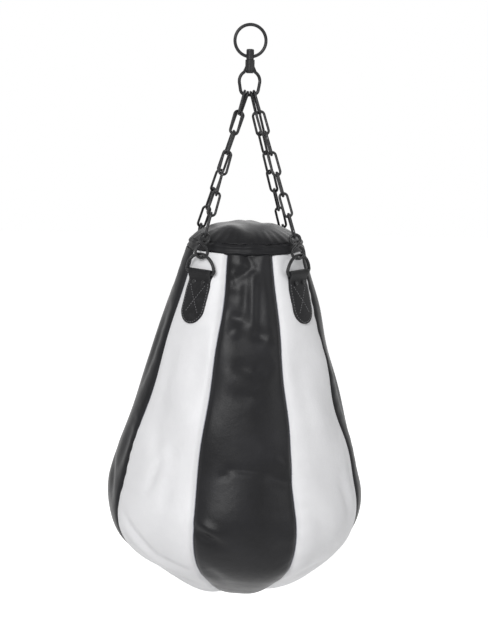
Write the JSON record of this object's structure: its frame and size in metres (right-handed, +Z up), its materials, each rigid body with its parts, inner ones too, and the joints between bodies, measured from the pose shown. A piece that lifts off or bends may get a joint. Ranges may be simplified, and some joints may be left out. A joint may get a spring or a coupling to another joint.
{
  "type": "hanging teardrop punching bag",
  "caption": "Teardrop punching bag of black and white panels, hung by four chains, S-hooks and D-rings from a swivel and a ring.",
  "frame": {"origin": "where the user's hook touches the inside of the top ring", "axes": "+Z up along the bag's axis, -Y to the front, at the middle of the front black panel, +X to the viewer's right"},
  "size_m": [0.4198, 0.4198, 0.9229],
  "materials": {
    "black_steel": "satin",
    "black_vinyl": "satin",
    "white_vinyl": "satin",
    "black_leather": "matte",
    "grey_felt": "matte",
    "textile_rags": "matte"
  },
  "bodies": {
    "hanging_ring": {"top_ring": "black_steel"},
    "swivel": {"swivel_pin": "black_steel", "thrust_washer": "black_steel"},
    "bail_loop": {"bail": "black_steel"},
    "bag": {"chain_front_left_link_1": "black_steel", "chain_front_left_link_2": "black_steel", "chain_front_left_link_3": "black_steel", "chain_front_left_link_4": "black_steel", "chain_front_left_link_5": "black_steel", "chain_front_left_link_6": "black_steel", "chain_front_left_link_7": "black_steel", "chain_front_right_link_1": "black_steel", "chain_front_right_link_2": "black_steel", "chain_front_right_link_3": "black_steel", "chain_front_right_link_4": "black_steel", "chain_front_right_link_5": "black_steel", "chain_front_right_link_6": "black_steel", "chain_front_right_link_7": "black_steel", "chain_back_left_link_1": "black_steel", "chain_back_left_link_2": "black_steel", "chain_back_left_link_3": "black_steel", "chain_back_left_link_4": "black_steel", "chain_back_left_link_5": "black_steel", "chain_back_left_link_6": "black_steel", "chain_back_left_link_7": "black_steel", "chain_back_right_link_1": "black_steel", "chain_back_right_link_2": "black_steel", "chain_back_right_link_3": "black_steel", "chain_back_right_link_4": "black_steel", "chain_back_right_link_5": "black_steel", "chain_back_right_link_6": "black_steel", "chain_back_right_link_7": "black_steel", "s_hook_front_left": "black_steel", "s_hook_front_right": "black_steel", "s_hook_back_left": "black_steel", "s_hook_back_right": "black_steel", "d_ring_front_left": "black_steel", "d_ring_front_right": "black_steel", "d_ring_back_left": "black_steel", "d_ring_back_right": "black_steel", "tab_front_left": "black_leather", "tab_front_right": "black_leather", "tab_back_left": "black_leather", "tab_back_right": "black_leather", "tab_rivets": "black_steel", "panel_front_black": "black_vinyl", "panel_right_black": "black_vinyl", "panel_back_black": "black_vinyl", "panel_left_black": "black_vinyl", "panel_front_right_white": "white_vinyl", "panel_back_right_white": "white_vinyl", "panel_back_left_white": "white_vinyl", "panel_front_left_white": "white_vinyl", "collar_band": "black_vinyl", "lid": "black_vinyl", "bottom_patch": "black_vinyl", "inner_liner": "grey_felt", "filling": "textile_rags"}
  },
  "joints": [
    {"name": "ring_swing", "type": "hinge", "parent": "hanging_ring", "child": "swivel", "pos_m": [0, 0, -0.0215], "axis": [0, 1, 0], "range_deg": [-45, 45]},
    {"name": "swivel_spin", "type": "hinge", "parent": "swivel", "child": "bail_loop", "pos_m": [0, 0, -0.06], "axis": [0, 0, 1], "continuous": true},
    {"name": "sling_swing", "type": "hinge", "parent": "bail_loop", "child": "bag", "pos_m": [0, 0, -0.10329], "axis": [1, 0, 0], "range_deg": [-45, 45]}
  ]
}
